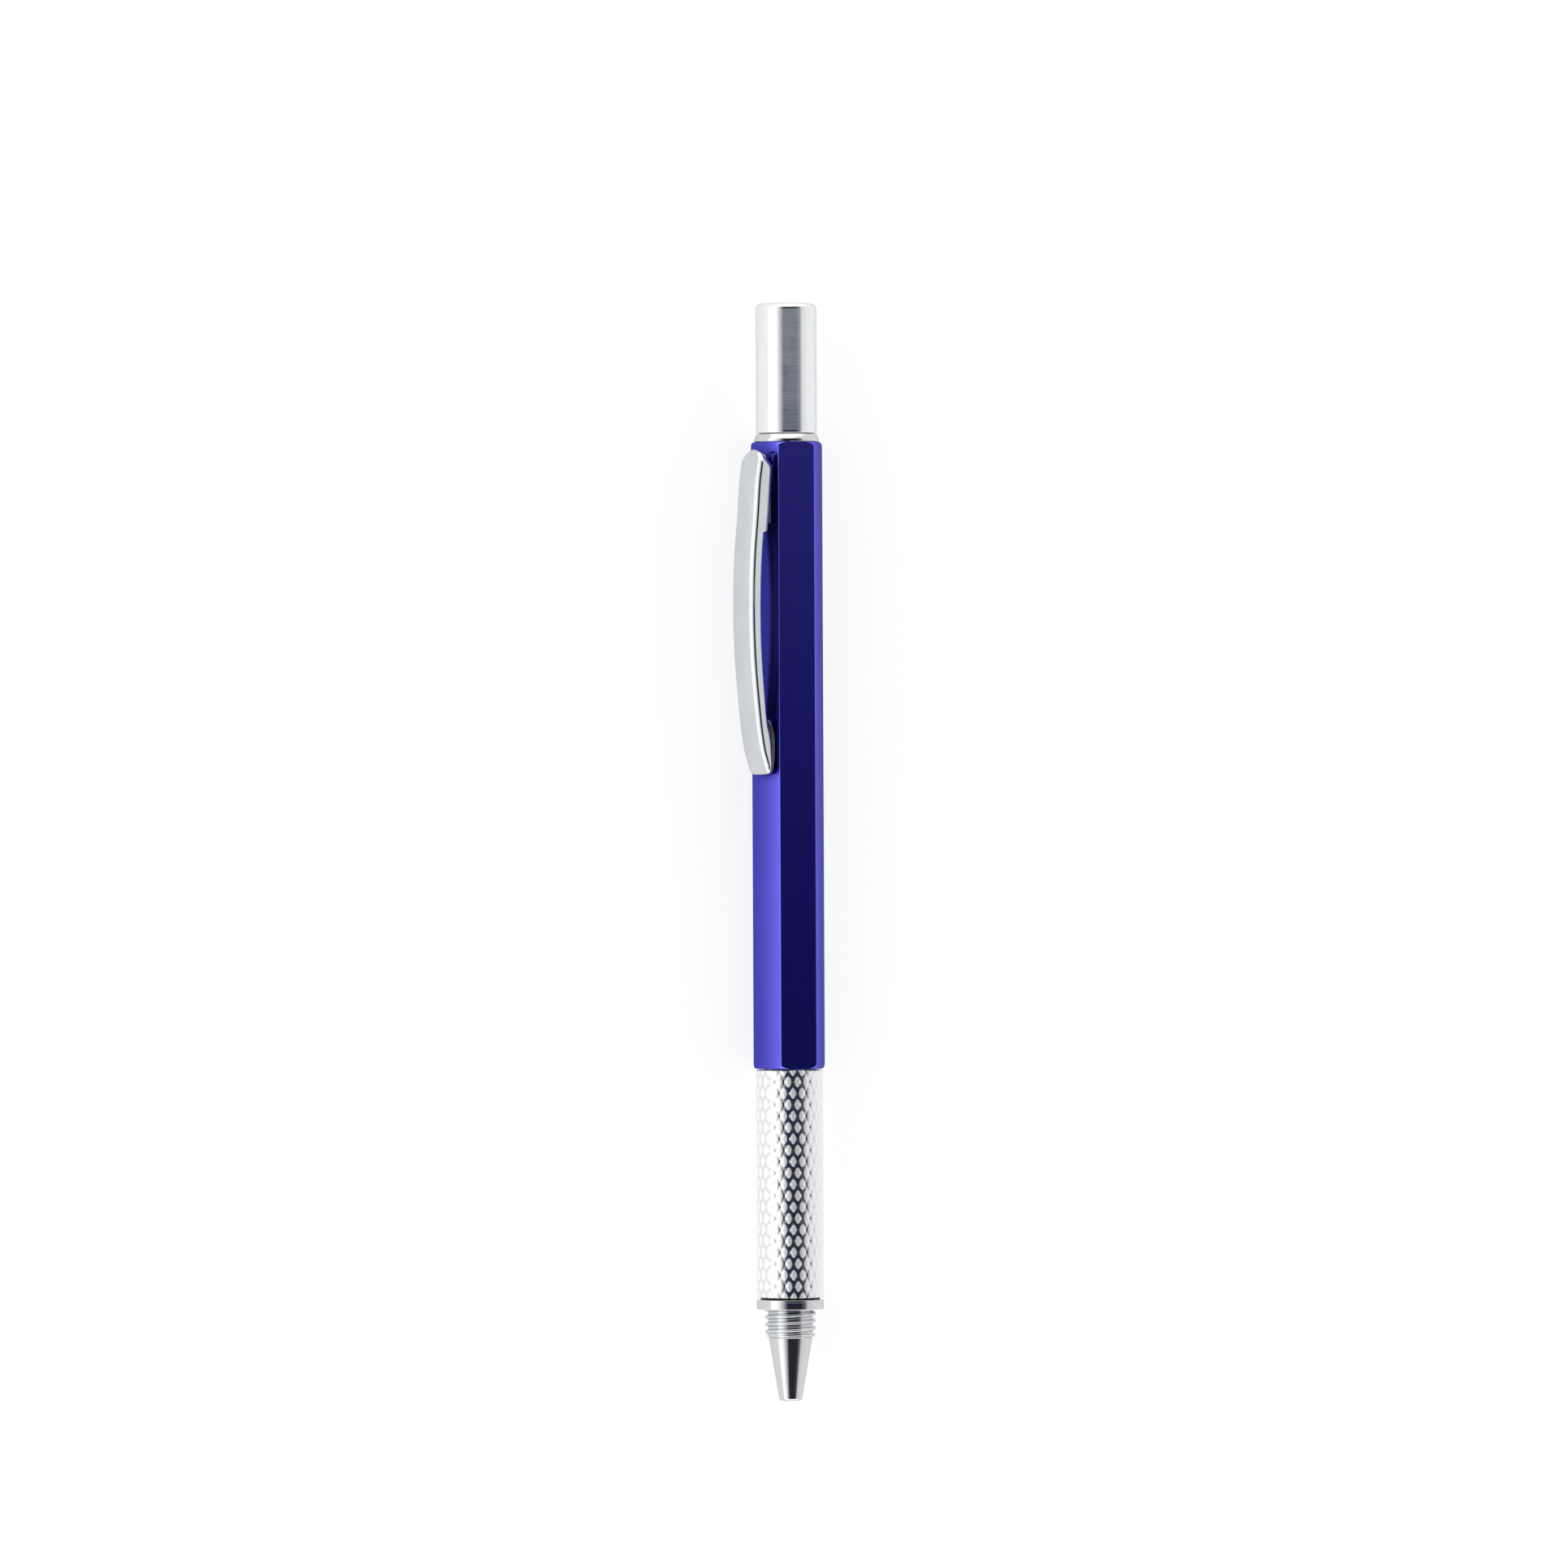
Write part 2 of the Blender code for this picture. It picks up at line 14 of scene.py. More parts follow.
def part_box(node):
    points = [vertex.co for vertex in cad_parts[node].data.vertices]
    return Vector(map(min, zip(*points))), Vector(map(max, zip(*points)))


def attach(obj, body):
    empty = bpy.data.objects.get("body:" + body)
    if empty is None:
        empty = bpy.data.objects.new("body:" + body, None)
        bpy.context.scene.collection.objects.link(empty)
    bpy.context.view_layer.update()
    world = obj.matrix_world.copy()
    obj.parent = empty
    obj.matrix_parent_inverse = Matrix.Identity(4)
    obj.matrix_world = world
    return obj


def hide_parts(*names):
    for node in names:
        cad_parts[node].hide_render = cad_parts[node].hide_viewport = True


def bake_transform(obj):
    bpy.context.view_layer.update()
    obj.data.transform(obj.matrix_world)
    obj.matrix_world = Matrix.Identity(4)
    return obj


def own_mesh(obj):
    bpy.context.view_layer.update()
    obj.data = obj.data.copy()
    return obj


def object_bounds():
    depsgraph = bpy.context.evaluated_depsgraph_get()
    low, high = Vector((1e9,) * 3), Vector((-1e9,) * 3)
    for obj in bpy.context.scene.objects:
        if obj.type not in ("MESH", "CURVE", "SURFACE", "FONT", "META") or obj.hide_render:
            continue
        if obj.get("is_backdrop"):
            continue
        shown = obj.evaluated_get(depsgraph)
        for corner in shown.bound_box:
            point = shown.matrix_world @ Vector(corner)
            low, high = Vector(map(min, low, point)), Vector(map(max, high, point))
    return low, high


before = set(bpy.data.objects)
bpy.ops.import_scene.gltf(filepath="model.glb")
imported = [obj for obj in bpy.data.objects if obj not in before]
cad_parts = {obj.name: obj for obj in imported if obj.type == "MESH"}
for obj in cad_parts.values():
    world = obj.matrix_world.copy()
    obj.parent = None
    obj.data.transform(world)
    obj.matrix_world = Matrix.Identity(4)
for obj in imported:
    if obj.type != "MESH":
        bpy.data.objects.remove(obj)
CAD_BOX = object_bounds()

MM = 0.001
TIP = CAD_BOX[0].y / MM
AXIS_HEIGHT = sum(corner.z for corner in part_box("cap_shell")) / 2 / MM


def span(node):
    """The first and last station of a CAD node."""
    low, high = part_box(node)
    return low.y / MM - TIP, high.y / MM - TIP


def radius_of(node):
    low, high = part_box(node)
    return (high.x - low.x) / 2 / MM


BARREL_START, BARREL_END = span("hex_barrel")
APOTHEM = AXIS_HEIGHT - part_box("hex_barrel")[0].z / MM
EDGE_ROUNDING = 0.22
BARREL_BORE = 3.85
# How far the barrel's painted shade looks for parts that shelter it.
SHADE_REACH = 7.0

BEADS_ROUND = 24
BEAD_ROW = 1.55
BEAD_TURN = math.radians(4.1)
FIRST_BEAD_ROW = 43.66
BEAD_ACROSS, BEAD_ALONG = 0.66, 0.99
GRIP_ROOT, BEAD_HEIGHT, PIT_DEPTH = 4.57, 0.065, 0.06

PITCH = 1.0
THREAD_MEAN, THREAD_HEIGHT = 3.28, 0.22

CLIP_OUT = Vector((-math.cos(math.radians(30)), 0, math.sin(math.radians(30))))
CLIP_ACROSS = Vector((-math.sin(math.radians(30)), 0, -math.cos(math.radians(30))))


# ------------------------------------------------------------------ materials

def new_look(name, color, metallic, roughness):
    """A material, with its shader's uniform values set on the shader itself."""
    made = bpy.data.materials.new(name)
    made.use_nodes = True
    shader = made.node_tree.nodes["Principled BSDF"]
    shader.inputs["Base Color"].default_value = (*color, 1)
    shader.inputs["Metallic"].default_value = metallic
    shader.inputs["Roughness"].default_value = roughness
    return made, shader


def add_node(look, kind, inputs=(), **settings):
    """A node of this kind. Each input is a value, or the socket of another node."""
    node = look.node_tree.nodes.new(kind)
    for key, value in settings.items():
        setattr(node, key, value)
    for key, value in dict(inputs).items():
        if isinstance(value, bpy.types.NodeSocket):
            look.node_tree.links.new(value, node.inputs[key])
        else:
            node.inputs[key].default_value = value
    return node


def math_node(look, operation, *values):
    return add_node(look, "ShaderNodeMath", enumerate(values), operation=operation).outputs[0]


def grain(look, size, stretch=(1, 1, 1), detail=2.0):
    """Noise whose cells are about this many millimetres across, stretched along the axes."""
    place = add_node(look, "ShaderNodeTexCoord").outputs["Object"]
    scale = tuple(1 / (size * MM * s) for s in stretch)
    mapped = add_node(look, "ShaderNodeMapping", {"Vector": place, "Scale": scale})
    inputs = {"Vector": mapped.outputs[0], "Scale": 1.0, "Detail": detail}
    return add_node(look, "ShaderNodeTexNoise", inputs).outputs["Fac"]


def between(look, factor, low, high, start=0.3, end=0.7):
    """A number that goes from low to high as the factor goes from start to end."""
    inputs = {"Value": factor, "From Min": start, "From Max": end, "To Min": low, "To Max": high}
    return add_node(look, "ShaderNodeMapRange", inputs).outputs[0]


def tint(look, factor, low, high, start=0.3, end=0.7):
    """A colour that goes from low to high as the factor goes from start to end."""
    ramp = add_node(look, "ShaderNodeValToRGB", {"Fac": factor})
    for element, position, color in zip(ramp.color_ramp.elements, (start, end), (low, high)):
        element.position = position
        element.color = (*color, 1)
    return ramp.outputs["Color"]


def blend_colors(look, factor, first, second):
    """A colour that goes from the first to the second; each is a value or a socket."""
    mixed = add_node(look, "ShaderNodeMix", data_type="RGBA")
    for key, value in (("Factor", factor), ("A", first), ("B", second)):
        socket = next(s for s in mixed.inputs if s.name == key and s.enabled)
        if isinstance(value, bpy.types.NodeSocket):
            look.node_tree.links.new(value, socket)
        else:
            socket.default_value = value
    return next(s for s in mixed.outputs if s.enabled)


def connect(look, shader, **sockets):
    for key, socket in sockets.items():
        look.node_tree.links.new(socket, shader.inputs[key.replace("_", " ")])


def relief(look, shader, height, depth, strength=1.0):
    """Bump of this many millimetres."""
    inputs = {"Height": height, "Distance": depth * MM, "Strength": strength}
    connect(look, shader, Normal=add_node(look, "ShaderNodeBump", inputs).outputs[0])


def anodised_blue():
    """Satin blue, with painted shade that darkens it toward the corners at the barrel's sides and under
    the clip.
    """
    look, shader = new_look("anodised_blue", (0.10, 0.09, 0.85), 1.0, 0.13)
    shader.inputs["Specular Tint"].default_value = (0.30, 0.30, 0.55, 1)
    shader.inputs["Coat Weight"].default_value = 0.15
    shader.inputs["Coat Roughness"].default_value = 0.12
    satin = grain(look, 0.09, (1, 3, 1), 4)
    cloud = grain(look, 2.5, (1, 4, 1))
    place = add_node(look, "ShaderNodeTexCoord").outputs["Object"]
    # Painted shade: the colour darkens toward the axis's height, where the barrel's side corners are,
    # and lightens toward the top and bottom flats. The cloud adds a little random tone.
    height = add_node(look, "ShaderNodeSeparateXYZ", {0: place}).outputs["Z"]
    height = math_node(look, "SUBTRACT", height, AXIS_HEIGHT * MM)
    height = math_node(look, "ABSOLUTE", math_node(look, "DIVIDE", height, APOTHEM * MM))
    shade = math_node(look, "POWER", height, 1.8)
    shade = math_node(look, "ADD", shade, between(look, cloud, -0.04, 0.04))
    color = tint(look, shade, (0.053, 0.052, 0.41), (0.155, 0.140, 0.86), 0.0, 1.0)
    # Painted shade under the clip and wherever other parts sit close: the colour goes toward a deep
    # blue where ambient occlusion is high.
    occlusion_amount = add_node(look, "ShaderNodeAmbientOcclusion", {"Distance": SHADE_REACH * MM}).outputs["AO"]
    unshaded_share = between(look, occlusion_amount, 0, 1, 0.5, 0.93)
    color = blend_colors(look, unshaded_share, (0.018, 0.020, 0.22, 1), color)
    connect(look, shader, Base_Color=color, Roughness=between(look, satin, 0.10, 0.16))
    relief(look, shader, satin, 0.003)
    return look


def chrome_plate(name="chrome_plate", color=(0.65, 0.66, 0.67), smudge=(0.04, 0.10)):
    """Bright plating over turned metal: faint smudges and very fine lines round the axis."""
    look, shader = new_look(name, color, 1.0, smudge[0])
    shader.inputs["Specular Tint"].default_value = (0.80, 0.80, 0.81, 1)
    cloud = grain(look, 1.6, (1, 1.5, 1), 3)
    lines = grain(look, 0.05, (60, 1, 60), 1)
    darker = tuple(0.95 * channel for channel in color)
    connect(look, shader, Base_Color=tint(look, cloud, darker, color),
            Roughness=between(look, cloud, *smudge))
    relief(look, shader, lines, 0.0006)
    return look


def chrome_sheet():
    """Bright plating over pressed sheet steel, with polishing lines along the clip."""
    look, shader = new_look("chrome_sheet", (0.61, 0.63, 0.65), 1.0, 0.12)
    shader.inputs["Specular Tint"].default_value = (0.80, 0.80, 0.81, 1)
    cloud = grain(look, 2.2, (1, 3, 1), 3)
    lines = grain(look, 0.06, (1, 40, 1), 1)
    color = tint(look, cloud, (0.58, 0.60, 0.62), (0.63, 0.65, 0.67))
    connect(look, shader, Base_Color=color, Roughness=between(look, cloud, 0.08, 0.16))
    relief(look, shader, lines, 0.0008)
    return look


def bare_sheet():
    """The inside of the clip, where the plating is thin and dull."""
    look, shader = new_look("bare_sheet", (0.56, 0.56, 0.58), 1.0, 0.45)
    cloud = grain(look, 0.8, (1, 3, 1), 3)
    connect(look, shader, Base_Color=tint(look, cloud, (0.50, 0.50, 0.52), (0.62, 0.62, 0.64)),
            Roughness=between(look, cloud, 0.38, 0.52))
    relief(look, shader, cloud, 0.004)
    return look


def knurl_pattern(look):
    """0 at the middle of each bead, 1 at its edge and more in the grooves."""
    place = add_node(look, "ShaderNodeTexCoord").outputs["Object"]
    axes = add_node(look, "ShaderNodeSeparateXYZ", {0: place}).outputs
    across = math_node(look, "SUBTRACT", axes["Z"], AXIS_HEIGHT * MM)
    turn = math_node(look, "ARCTAN2", across, axes["X"])
    round_wave = math_node(look, "SUBTRACT", turn, BEAD_TURN)
    round_wave = math_node(look, "COSINE", math_node(look, "MULTIPLY", round_wave, BEADS_ROUND))
    along = math_node(look, "SUBTRACT", axes["Y"], (TIP + FIRST_BEAD_ROW) * MM)
    along_wave = math_node(look, "MULTIPLY", along, math.pi / (BEAD_ROW * MM))
    along_wave = math_node(look, "COSINE", along_wave)
    offset = math_node(look, "MULTIPLY", round_wave, BEAD_ACROSS)
    offset = math_node(look, "ADD", offset, math_node(look, "MULTIPLY", along_wave, BEAD_ALONG))
    offset = math_node(look, "ABSOLUTE", offset)
    return math_node(look, "SUBTRACT", BEAD_ACROSS + BEAD_ALONG, offset)


def knurled_plate():
    """Plated aluminium: the beads' tops are satin and the grooves are bright, with painted shade that
    makes the grooves' colour a little darker.
    """
    look, shader = new_look("knurled_plate", (0.92, 0.93, 0.94), 1.0, 0.3)
    bead = knurl_pattern(look)
    speck = grain(look, 0.12, detail=3)
    inside = between(look, bead, 1, 0, 0.80, 1.00)
    # Painted shade: the colour is a little darker in the grooves than on the beads' tops.
    color = tint(look, inside, (0.78, 0.79, 0.80), (0.92, 0.93, 0.94), 0.0, 1.0)
    rough = math_node(look, "ADD", between(look, inside, 0.10, 0.58, 0, 1),
                      between(look, speck, -0.03, 0.03))
    connect(look, shader, Base_Color=color, Roughness=rough)
    relief(look, shader, speck, 0.003)
    return look


def bright_steel(name, color, low, high, size, stretch):
    """Steel that was drawn, turned or ground; the stretch says which way its lines run."""
    look, shader = new_look(name, color, 1.0, (low + high) / 2)
    lines = grain(look, size, stretch, 2)
    cloud = grain(look, 1.2, detail=3)
    dark = tuple(0.82 * channel for channel in color)
    connect(look, shader, Base_Color=tint(look, cloud, dark, color),
            Roughness=between(look, lines, low, high))
    relief(look, shader, lines, 0.003)
    return look


def turned_brass():
    look, shader = new_look("turned_brass", (0.80, 0.60, 0.27), 1.0, 0.25)
    lines = grain(look, 0.07, (40, 1, 40), 2)
    cloud = grain(look, 1.5, detail=3)
    color = tint(look, cloud, (0.66, 0.47, 0.19), (0.84, 0.64, 0.31))
    connect(look, shader, Base_Color=color, Roughness=between(look, lines, 0.18, 0.32))
    relief(look, shader, lines, 0.004)
    return look


def moulded_plastic():
    look, shader = new_look("moulded_plastic", (0.80, 0.80, 0.76), 0.0, 0.45)
    shader.inputs["Subsurface Weight"].default_value = 0.15
    shader.inputs["Subsurface Radius"].default_value = (0.0006, 0.0005, 0.0004)
    speck = grain(look, 0.15, detail=3)
    color = tint(look, grain(look, 3.0), (0.76, 0.76, 0.71), (0.83, 0.83, 0.80))
    connect(look, shader, Base_Color=color, Roughness=between(look, speck, 0.38, 0.52))
    relief(look, shader, speck, 0.004)
    return look


def ink_tube():
    """A clear tube with blue ink in its front part; the rest is milky."""
    look, shader = new_look("ink_tube", (0.10, 0.12, 0.42), 0.0, 0.2)
    shader.inputs["Coat Weight"].default_value = 0.6
    place = add_node(look, "ShaderNodeTexCoord").outputs["Object"]
    along = add_node(look, "ShaderNodeSeparateXYZ", {0: place}).outputs["Y"]
    start, end = span("refill_tube")
    edge = (TIP + 0.55 * start + 0.45 * end) * MM
    filled = between(look, along, 1, 0, edge - 0.3 * MM, edge + 0.3 * MM)
    mixed = math_node(look, "MULTIPLY", filled, between(look, grain(look, 0.8), 0.9, 1.0))
    connect(look, shader, Base_Color=tint(look, mixed, (0.55, 0.57, 0.60), (0.03, 0.04, 0.30), 0, 1),
            Roughness=between(look, grain(look, 0.2), 0.12, 0.22))
    return look


def matt_rubber():
    look, shader = new_look("matt_rubber", (0.02, 0.02, 0.021), 0.0, 0.6)
    speck = grain(look, 0.06, detail=4)
    color = tint(look, speck, (0.014, 0.014, 0.015), (0.032, 0.032, 0.033))
    connect(look, shader, Base_Color=color, Roughness=between(look, speck, 0.5, 0.7))
    relief(look, shader, speck, 0.01)
    return look


def pale_floor():
    look, shader = new_look("pale_floor", (0.30, 0.30, 0.30), 0.0, 0.9)
    shader.inputs["Specular IOR Level"].default_value = 0.0
    shader.inputs["Emission Color"].default_value = (1, 1, 1, 1)
    shader.inputs["Emission Strength"].default_value = FLOOR_GLOW
    cloud = grain(look, 300, detail=1)
    connect(look, shader, Base_Color=tint(look, cloud, (0.29, 0.29, 0.29), (0.31, 0.31, 0.31)))
    return look


# ------------------------------------------------------------------ meshes

def add_piece(name, points, faces, body, slot, look, *nodes):
    """A smooth piece from points in metres, which rides on a body and stands for CAD nodes."""
    mesh = bpy.data.meshes.new(name)
    mesh.from_pydata(points, [], faces)
    bm = bmesh.new()
    bm.from_mesh(mesh)
    bmesh.ops.recalc_face_normals(bm, faces=bm.faces)
    bm.to_mesh(mesh)
    bm.free()
    mesh.materials.append(look)
    mesh.shade_smooth()
    mesh.set_sharp_from_angle(angle=math.radians(40))
    obj = bpy.data.objects.new(name, mesh)
    bpy.context.scene.collection.objects.link(obj)
    if body:
        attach(obj, body)
    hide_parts(*nodes)
    return obj


def keep_flats_flat(obj):
    modifier = obj.modifiers.new("flat_shading", "WEIGHTED_NORMAL")
    modifier.keep_sharp = True
    return obj


def turned_point(radius, turn, station):
    """A point in metres. A turn of 0 points to +X, and 90 degrees to +Z."""
    return Vector((radius * math.cos(turn), TIP + station,
                   AXIS_HEIGHT + radius * math.sin(turn))) * MM


def strip_faces(first, second):
    """Quads between two rows of points, or triangles where a row is a single point."""
    count = max(len(first), len(second))
    faces = []
    for k in range(count):
        corners = [first[k % len(first)], first[(k + 1) % len(first)],
                   second[(k + 1) % len(second)], second[k % len(second)]]
        faces.append(list(dict.fromkeys(corners)))
    return faces


def joined(rows):
    """The faces between each row of points and the next."""
    return [face for first, second in zip(rows, rows[1:]) for face in strip_faces(first, second)]


def skin(rings, turns, closed):
    """Points and faces through rings round the axis.

    A ring is (radius, station), where the radius is a number or a function of the turn.
    """
    points, rows = [], []
    for radius, station in rings:
        ring_turns = turns if callable(radius) or radius > 0 else turns[:1]
        rows.append(range(len(points), len(points) + len(ring_turns)))
        for turn in ring_turns:
            reach = radius(turn) if callable(radius) else radius
            points.append(turned_point(reach, turn, station))
    return points, joined(rows + rows[:1] if closed else rows)


def even_turns(sides):
    return [math.tau * k / sides for k in range(sides)]


def rounded(outline, steps=5):
    """A closed outline of (radius, station, rounding), with an arc at each rounded corner."""
    made = []
    for k, (radius, station, *rounding) in enumerate(outline):
        corner = Vector((radius, station))
        if not rounding:
            made.append((radius, station))
            continue
        back = (Vector(outline[k - 1][:2]) - corner).normalized()
        ahead = (Vector(outline[(k + 1) % len(outline)][:2]) - corner).normalized()
        half = back.angle(ahead) / 2
        middle = corner + (back + ahead).normalized() * rounding[0] / math.sin(half)
        start = corner + back * rounding[0] / math.tan(half) - middle
        end = corner + ahead * rounding[0] / math.tan(half) - middle
        sweep = start.angle_signed(end)
        for i in range(steps + 1):
            point = middle + Matrix.Rotation(-sweep * i / steps, 2) @ start
            made.append((point.x, point.y))
    return made


def turned(name, outline, body, slot, look, *nodes, sides=96):
    points, faces = skin(rounded(outline), even_turns(sides), closed=outline[0][0] > 0)
    return keep_flats_flat(add_piece(name, points, faces, body, slot, look, *nodes))


def hexagon_radius(turn, apothem, rounding):
    """How far a hexagon with two flats across Z reaches at this turn."""
    off_corner = (turn + math.pi / 6) % (math.pi / 3) - math.pi / 6
    middle = (apothem - rounding) / math.cos(math.pi / 6)
    tangent = math.pi / 6 - math.atan2(middle / 2, apothem)
    if abs(off_corner) < tangent:
        side = middle * math.sin(off_corner)
        return middle * math.cos(off_corner) + math.sqrt(rounding**2 - side**2)
    return apothem / math.cos(math.pi / 6 - abs(off_corner))


def hexagon_turns(apothem, rounding, along_flat=22, round_corner=6):
    """Turns that put points evenly along the flats and round the corners."""
    middle = (apothem - rounding) / math.cos(math.pi / 6)
    tangent = math.pi / 6 - math.atan2(middle / 2, apothem)
    turns = []
    for corner in range(6):
        base = corner * math.pi / 3
        turns += [base + tangent * (2 * i / round_corner - 1) for i in range(round_corner)]
        flat = math.pi / 3 - 2 * tangent
        turns += [base + tangent + flat * i / along_flat for i in range(along_flat)]
    return turns


def soft_least(first, second, blend=0.02):
    """The smaller of two lengths, with the change from one to the other rounded."""
    gap = max(-30.0, min(30.0, (first - second) / blend))
    return first - blend * math.log(1 + math.exp(gap))


# ------------------------------------------------------------------ barrel and cap

def make_barrel(look):
    """The hexagonal tube, with both ends turned to a rounded rim."""
    rim, turned_length, reach = 4.62, 1.15, 0.58
    steps = 14

    def ring(depth):
        share = min(1.0, depth / turned_length)
        limit = rim + reach * math.sqrt(1 - (1 - share) ** 2) if share < 1 else 9.0
        return lambda turn: soft_least(hexagon_radius(turn, APOTHEM, EDGE_ROUNDING), limit)

    depths = [turned_length * (i / steps) ** 1.6 for i in range(steps + 1)]
    middle = [BARREL_START + (BARREL_END - BARREL_START) * i / 12 for i in range(1, 12)]
    face = 0.06
    rings = [(BARREL_BORE + face, BARREL_START), (rim - 2 * face, BARREL_START)]
    rings += [(ring(d), BARREL_START + face / 2 + d) for d in depths]
    rings += [(ring(9), station) for station in middle]
    rings += [(ring(d), BARREL_END - face / 2 - d) for d in reversed(depths)]
    rings += [(rim - 2 * face, BARREL_END), (BARREL_BORE + face, BARREL_END)]
    rings += [(BARREL_BORE, BARREL_END - face), (BARREL_BORE, BARREL_START + face)]
    points, faces = skin(rings, hexagon_turns(APOTHEM, EDGE_ROUNDING), closed=True)
    return keep_flats_flat(add_piece("barrel_skin", points, faces, "barrel", "blue_anodised",
                                     look, "hex_barrel"))


def make_collar(chrome, rubber):
    """The flared collar, the neck that the cap slides on and the rubber ring in its groove."""
    start, end = span("top_collar")
    neck_start, neck = 132.1, 3.2
    ring_start, ring_end = span("neck_ring")
    groove_start, groove_end, groove_depth = ring_start - 0.04, ring_end + 0.04, 2.95
    outline = [
        (2.7, start, 0.05),
        (3.8, start, 0.1),
        (3.8, BARREL_END + 0.03),
        (4.5, BARREL_END + 0.03, 0.08),
        (4.42, BARREL_END + 0.42, 0.3),
        (4.16, neck_start, 0.12),
        (neck, neck_start, 0.06),
        (neck, groove_start, 0.04),
        (groove_depth, groove_start, 0.04),
        (groove_depth, groove_end, 0.04),
        (neck, groove_end, 0.04),
        (neck, end, 0.22),
        (2.7, end, 0.08),
    ]
    turned("collar", outline, "barrel", "chrome_plate", chrome, "top_collar")
    torus("neck_seal", (ring_start + ring_end) / 2, groove_depth + 0.195, 0.19, "barrel",
          "rubber", rubber, "neck_ring")


def torus(name, station, middle, section, body, slot, look, *nodes, steps=20):
    ring = [(middle + section * math.cos(a), station + section * math.sin(a))
            for a in even_turns(steps)]
    points, faces = skin(ring, even_turns(96), closed=True)
    return add_piece(name, points, faces, body, slot, look, *nodes)


def make_cap(plate, plastic):
    """The cap with its softly rounded end, and the ribbed liner that grips the neck."""
    start, end = span("cap_shell")
    radius, bore, wall = radius_of("cap_shell"), 3.83, 0.5
    outline = [
        (0, end),
        (radius, end, 0.85),
        (radius, start + 0.3, 0.5),
        (radius - 0.06, start, 0.14),
        (bore, start, 0.08),
        (bore, end - wall, 0.4),
        (0, end - wall),
    ]
    turned("cap_skin", outline, "cap", "plated_aluminium", plate, "cap_shell", sides=128)

    start, end = span("cap_liner")
    outer, inner, ribs, rib_height = radius_of("cap_liner"), 3.42, 12, 0.08

    def ribbed(turn):
        return inner - rib_height * max(0.0, math.cos(ribs * turn)) ** 4

    rings = [
        (inner + 0.2, start), (outer - 0.1, start), (outer, start + 0.1), (outer, end - 0.1),
        (outer - 0.1, end), (inner + 0.1, end), (ribbed, end - 0.2), (ribbed, start + 0.5),
    ]
    points, faces = skin(rings, even_turns(144), closed=True)
    add_piece("cap_liner_ribbed", points, faces, "cap", "white_plastic", plastic, "cap_liner")


# ------------------------------------------------------------------ grip and nose

def knurl_height(turn, station):
    """How far the knurled surface stands over its root: beads between crossing grooves."""
    round_wave = math.cos(BEADS_ROUND * (turn - BEAD_TURN))
    along_wave = math.cos(math.pi * (station - FIRST_BEAD_ROW) / BEAD_ROW)
    offset = abs(BEAD_ACROSS * round_wave + BEAD_ALONG * along_wave)
    from_middle = BEAD_ACROSS + BEAD_ALONG - offset
    rise = max(0.0, min(1.0, (1.02 - from_middle) / 0.85))
    pit = max(0.0, (-round_wave * along_wave - 0.72) / 0.28)
    return BEAD_HEIGHT * math.sin(math.pi / 2 * rise) - PIT_DEPTH * pit**2


def make_grip_sleeve(look):
    start, end = span("grip_sleeve")
    bore, land, steps, around = 4.1, 0.12, 12, 14
    count = round((end - start - 2 * land) / BEAD_ROW * steps)

    def ring(station):
        return lambda turn: GRIP_ROOT + knurl_height(turn, station)

    stations = [start + land + (end - start - 2 * land) * i / count for i in range(count + 1)]
    rings = [(bore, start), (GRIP_ROOT - 0.12, start), (GRIP_ROOT - 0.02, start + land / 2)]
    rings += [(ring(station), station) for station in stations]
    rings += [(GRIP_ROOT - 0.02, end - land / 2), (GRIP_ROOT - 0.12, end), (bore, end)]
    points, faces = skin(rings, even_turns(BEADS_ROUND * around), closed=True)
    return add_piece("knurled_sleeve", points, faces, "grip", "plated_aluminium", look,
                     "grip_sleeve")


def thread_radius(mean, start, end, station):
    """A right-hand thread that runs out over half a turn at each end."""
    run_out = max(0.0, min(1.0, 2 * (station - start) / PITCH, 2 * (end - station) / PITCH))

    def radius(turn):
        wave = math.cos(math.tau * station / PITCH + turn)
        return mean + run_out * THREAD_HEIGHT * wave * (1.3 - 0.3 * wave**2)

    return radius


def thread_rings(mean, start, end, run_start, run_end, per_pitch=16):
    count = round((end - start) / PITCH * per_pitch)
    stations = [start + (end - start) * i / count for i in range(count + 1)]
    return [(thread_radius(mean, run_start, run_end, s), s) for s in stations]


def make_front_ring(look, darker):
    """The ring in front of the grip; past the shoulder that faces the grip it is near-black, painted
    shade for the gap there.
    """
    start, end = span("front_ring")
    radius, female, inside = radius_of("front_ring"), THREAD_MEAN + 0.12, 4.05
    shoulder, thread_end = 13.86, 17.55
    outline = rounded([
        (female + 0.2, start),
        (radius, start, 0.1),
        (radius, shoulder, 0.05),
        (inside, shoulder),
        (inside, end, 0.1),
        (female + 0.2, end, 0.1),
    ])
    rings = outline + [(female + 0.2, thread_end + 0.2)]
    rings += thread_rings(female, start + 0.15, thread_end, start - 1, thread_end)[::-1]
    points, faces = skin(rings, even_turns(96), closed=True)
    ring = add_piece("ring_skin", points, faces, "grip", "chrome_plate", look, "front_ring")
    # The second material is near-black painted shade, for the faces down in the gap past the shoulder.
    ring.data.materials.append(darker)
    for face in ring.data.polygons:
        if face.center.y / MM - TIP > shoulder + 0.1:
            face.material_index = 1
    return keep_flats_flat(ring)


